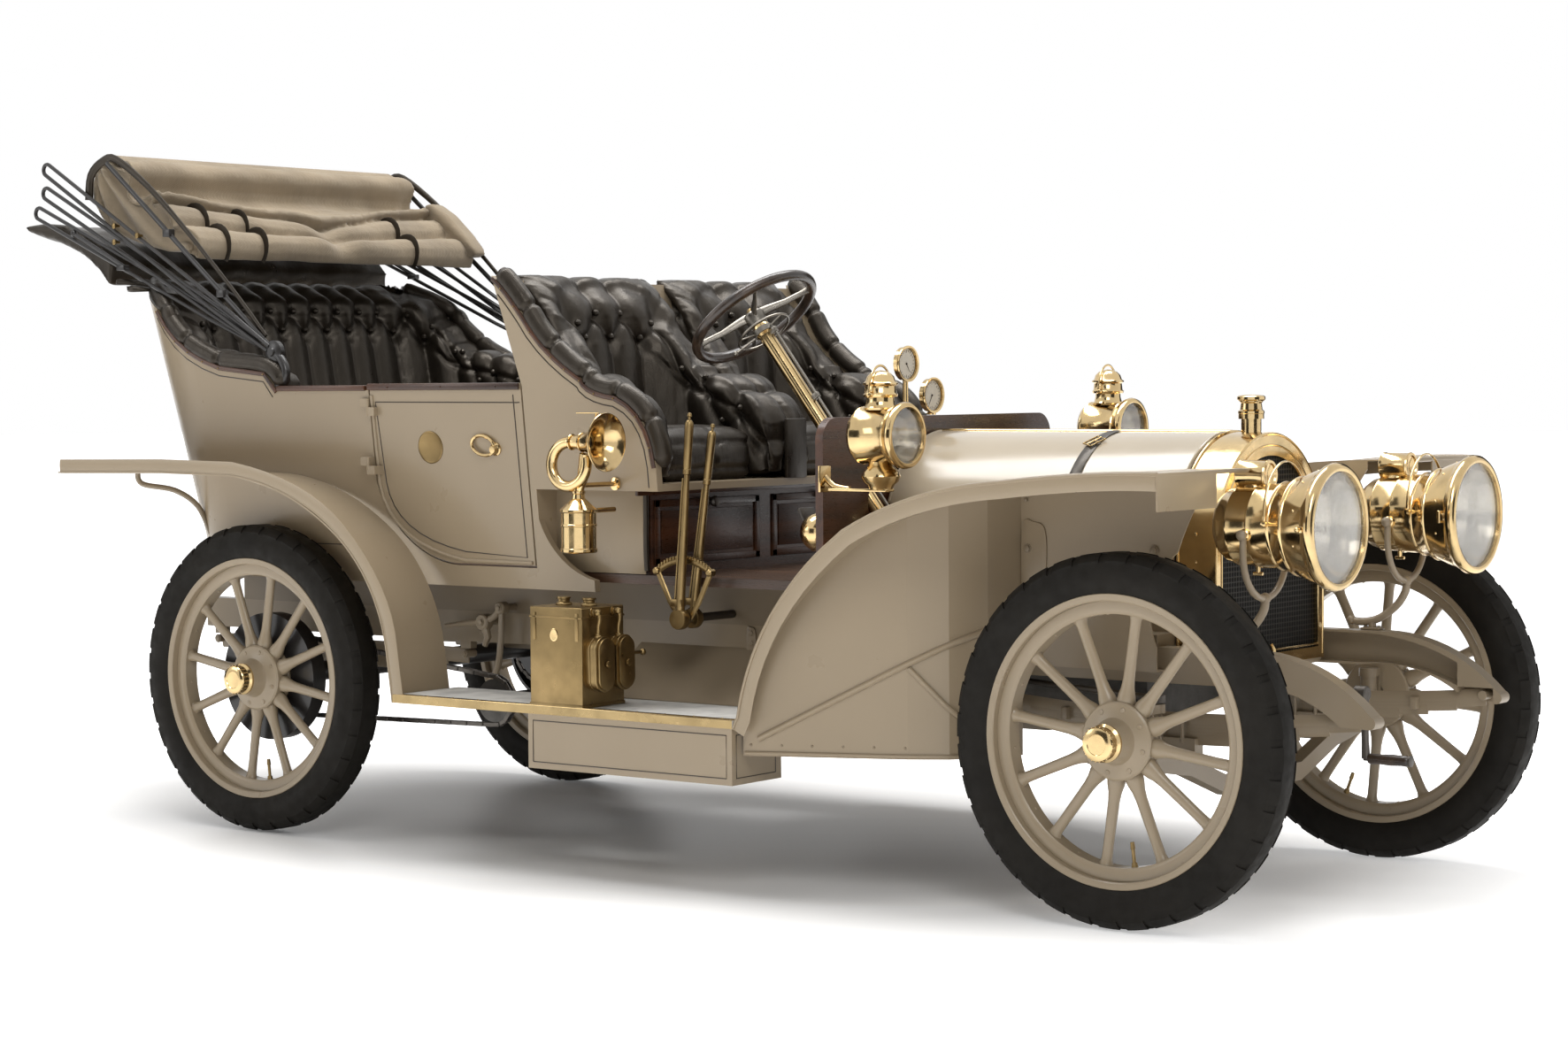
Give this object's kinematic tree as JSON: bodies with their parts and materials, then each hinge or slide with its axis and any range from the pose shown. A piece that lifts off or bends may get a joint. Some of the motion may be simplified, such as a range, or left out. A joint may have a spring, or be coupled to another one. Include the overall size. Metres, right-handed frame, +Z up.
{
  "type": "open touring car",
  "caption": "Open touring car with brass radiator and lamps, wooden-spoked wheels, chain drive, tufted leather seats and a folded canvas hood.",
  "frame": {"origin": "centre of the car's bounding box, on the ground under the tyres", "axes": "+X forwards along the car, +Y to the car's left, +Z up"},
  "size_m": [4.6563, 1.74, 2.0642],
  "materials": {
    "body_paint": "smooth taupe coach enamel",
    "frame_paint": "taupe chassis enamel",
    "black_iron": "black enamelled forging",
    "brass": "polished brass",
    "leather": "black tufted leather",
    "mahogany": "varnished mahogany",
    "floor_wood": "oiled floor boards",
    "canvas": "tan canvas",
    "tyre": "near-black rubber",
    "glass": "clear lamp glass",
    "steel": "bright steel",
    "engine": "cast iron",
    "board": "light board covering with a brass edge",
    "core": "dark radiator core"
  },
  "bodies": {
    "car": {"bonnet_hinge": "brass", "bonnet_sides": "body_paint", "chassis_frame": "frame_paint", "dash": "mahogany", "dash_gauges": "brass", "drive_chains": "steel", "driver_controls": "brass", "engine_block": "engine", "floor": "floor_wood", "front_axle": "frame_paint", "front_body": "body_paint", "front_mudguards": "body_paint", "front_seat_backs": "leather", "front_seat_cushions": "leather", "gas_generator": "brass", "gearbox": "engine", "headlamp_brackets": "frame_paint", "headlamps": "brass", "hood_cloth": "canvas", "hood_flap": "leather", "hood_irons": "black_iron", "horn": "brass", "lamp_glasses": "glass", "leaf_springs": "frame_paint", "radiator_core": "core", "radiator_shell": "brass", "rear_axle": "black_iron", "rear_body": "body_paint", "rear_mudguards": "body_paint", "rear_seat_back": "leather", "rear_seat_cushion": "leather", "running_boards": "board", "seat_boxes": "mahogany", "side_lamps": "brass", "silencer": "black_iron", "steering_column": "brass", "underslung_boxes": "body_paint", "wooden_sills": "floor_wood"},
    "knuckle_right": {"steering_knuckle_right": "frame_paint"},
    "knuckle_left": {"steering_knuckle_left": "frame_paint"},
    "tie_rod": {"tie_rod": "steel"},
    "drop_arm": {"drop_arm": "steel"},
    "drag_link": {"drag_link": "steel"},
    "steering_wheel": {"steering_wheel": "mahogany"},
    "front_right_wheel": {"wheel_front_right": "body_paint", "tyre_front_right": "tyre"},
    "front_left_wheel": {"wheel_front_left": "body_paint", "tyre_front_left": "tyre"},
    "rear_right_wheel": {"wheel_rear_right": "body_paint", "tyre_rear_right": "tyre", "drive_drum_right": "black_iron"},
    "rear_left_wheel": {"wheel_rear_left": "body_paint", "tyre_rear_left": "tyre", "drive_drum_left": "black_iron"},
    "crank": {"starting_crank": "steel"},
    "door_right": {"door_right": "body_paint"},
    "door_left": {"door_left": "body_paint"},
    "bonnet_right": {"bonnet_right": "body_paint"},
    "bonnet_left": {"bonnet_left": "body_paint"}
  },
  "joints": [
    {"name": "steer_right", "type": "hinge", "parent": "car", "child": "knuckle_right", "pos_m": [1.81, -0.62, 0.46], "axis": [0, 0, 1], "range_deg": [-28, 28]},
    {"name": "steer_left", "type": "hinge", "parent": "car", "child": "knuckle_left", "pos_m": [1.81, 0.62, 0.46], "axis": [0, 0, 1], "range_deg": [-28, 28]},
    {"name": "tie_rod_swing", "type": "hinge", "parent": "knuckle_right", "child": "tie_rod", "pos_m": [1.685, -0.62, 0.4], "axis": [0, 0, 1], "range_deg": [-28, 28]},
    {"name": "drop_arm_swing", "type": "hinge", "parent": "car", "child": "drop_arm", "pos_m": [1.11, -0.265, 0.65], "axis": [0, 1, 0], "range_deg": [-28, 28]},
    {"name": "drag_link_swing", "type": "hinge", "parent": "drop_arm", "child": "drag_link", "pos_m": [1.11, -0.245, 0.545], "axis": [0, 1, 0], "range_deg": [-28, 28]},
    {"name": "steering_wheel_turn", "type": "hinge", "parent": "car", "child": "steering_wheel", "pos_m": [0.424, -0.335, 1.509], "axis": [-0.6184, 0, 0.7859], "range_deg": [-224, 224]},
    {"name": "front_right_spin", "type": "hinge", "parent": "knuckle_right", "child": "front_right_wheel", "pos_m": [1.81, -0.695, 0.46], "axis": [0, 1, 0], "continuous": true},
    {"name": "front_left_spin", "type": "hinge", "parent": "knuckle_left", "child": "front_left_wheel", "pos_m": [1.81, 0.695, 0.46], "axis": [0, 1, 0], "continuous": true},
    {"name": "rear_right_spin", "type": "hinge", "parent": "car", "child": "rear_right_wheel", "pos_m": [-1.17, -0.695, 0.46], "axis": [0, 1, 0], "continuous": true},
    {"name": "rear_left_spin", "type": "hinge", "parent": "car", "child": "rear_left_wheel", "pos_m": [-1.17, 0.695, 0.46], "axis": [0, 1, 0], "continuous": true},
    {"name": "crank_turn", "type": "hinge", "parent": "car", "child": "crank", "pos_m": [1.81, 0, 0.53], "axis": [1, 0, 0], "continuous": true},
    {"name": "door_right_swing", "type": "hinge", "parent": "car", "child": "door_right", "pos_m": [-0.741, -0.667, 1.095], "axis": [0, 0, -1], "range_deg": [0, 55]},
    {"name": "door_left_swing", "type": "hinge", "parent": "car", "child": "door_left", "pos_m": [-0.741, 0.667, 1.095], "axis": [0, 0, 1], "range_deg": [0, 55]},
    {"name": "bonnet_right_lift", "type": "hinge", "parent": "car", "child": "bonnet_right", "pos_m": [1.275, 0, 1.1905], "axis": [-1, 0, 0], "range_deg": [0, 68]},
    {"name": "bonnet_left_lift", "type": "hinge", "parent": "car", "child": "bonnet_left", "pos_m": [1.275, 0, 1.1905], "axis": [1, 0, 0], "range_deg": [0, 68]}
  ],
  "couplings": [
    {"joint": "steer_left", "follows": "steer_right", "ratio": 1},
    {"joint": "tie_rod_swing", "follows": "steer_right", "ratio": -1},
    {"joint": "drop_arm_swing", "follows": "steer_right", "ratio": 1},
    {"joint": "drag_link_swing", "follows": "steer_right", "ratio": -1},
    {"joint": "steering_wheel_turn", "follows": "steer_right", "ratio": 8}
  ]
}
